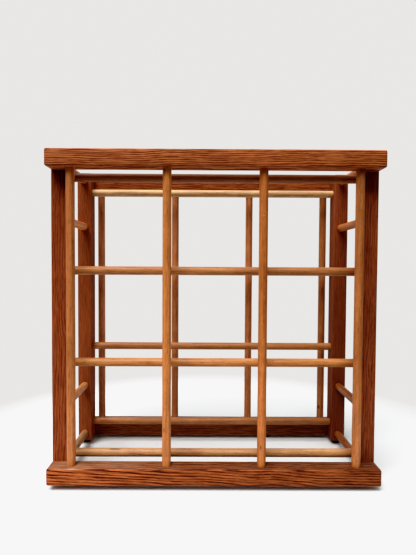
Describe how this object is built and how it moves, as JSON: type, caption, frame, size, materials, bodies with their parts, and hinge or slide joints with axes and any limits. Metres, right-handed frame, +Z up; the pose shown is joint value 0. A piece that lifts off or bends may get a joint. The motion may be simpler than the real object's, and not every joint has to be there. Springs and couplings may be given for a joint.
{
  "type": "wine rack",
  "caption": "Open wooden wine rack that holds bottles lying down in a square grid of cells, made from square posts and rails joined by round dowels.",
  "frame": {"origin": "on the surface the rack stands on, under the middle of the rack", "axes": "+Z up, front towards -Y, +X to the right seen from the front"},
  "size_m": [0.382, 0.1714, 0.3865],
  "materials": {
    "post_oak": "dark red-brown stained oak, satin, fine vertical grain",
    "rail_oak": "red-brown stained oak, satin, open streaky grain along the rail",
    "dowel_wood": "honey-brown stained hardwood dowel, satin, faint grain along its length",
    "foot_rubber": "dark brown rubber, matt"
  },
  "bodies": {
    "root": {"post_front_left": "post_oak", "post_front_right": "post_oak", "rail_front_bottom": "rail_oak", "rail_front_top": "rail_oak", "post_back_left": "post_oak", "post_back_right": "post_oak", "rail_back_bottom": "rail_oak", "rail_back_top": "rail_oak", "upright_dowel_front_1": "dowel_wood", "upright_dowel_front_2": "dowel_wood", "upright_dowel_front_3": "dowel_wood", "upright_dowel_front_4": "dowel_wood", "row_dowel_front_1": "dowel_wood", "row_dowel_front_2": "dowel_wood", "row_dowel_front_3": "dowel_wood", "row_dowel_front_4": "dowel_wood", "upright_dowel_back_1": "dowel_wood", "upright_dowel_back_2": "dowel_wood", "upright_dowel_back_3": "dowel_wood", "upright_dowel_back_4": "dowel_wood", "row_dowel_back_1": "dowel_wood", "row_dowel_back_2": "dowel_wood", "row_dowel_back_3": "dowel_wood", "row_dowel_back_4": "dowel_wood", "side_dowel_left_1": "dowel_wood", "side_dowel_left_2": "dowel_wood", "side_dowel_left_3": "dowel_wood", "side_dowel_left_4": "dowel_wood", "side_dowel_right_1": "dowel_wood", "side_dowel_right_2": "dowel_wood", "side_dowel_right_3": "dowel_wood", "side_dowel_right_4": "dowel_wood", "foot_front_left": "foot_rubber", "foot_front_right": "foot_rubber", "foot_back_left": "foot_rubber", "foot_back_right": "foot_rubber"}
  },
  "joints": []
}
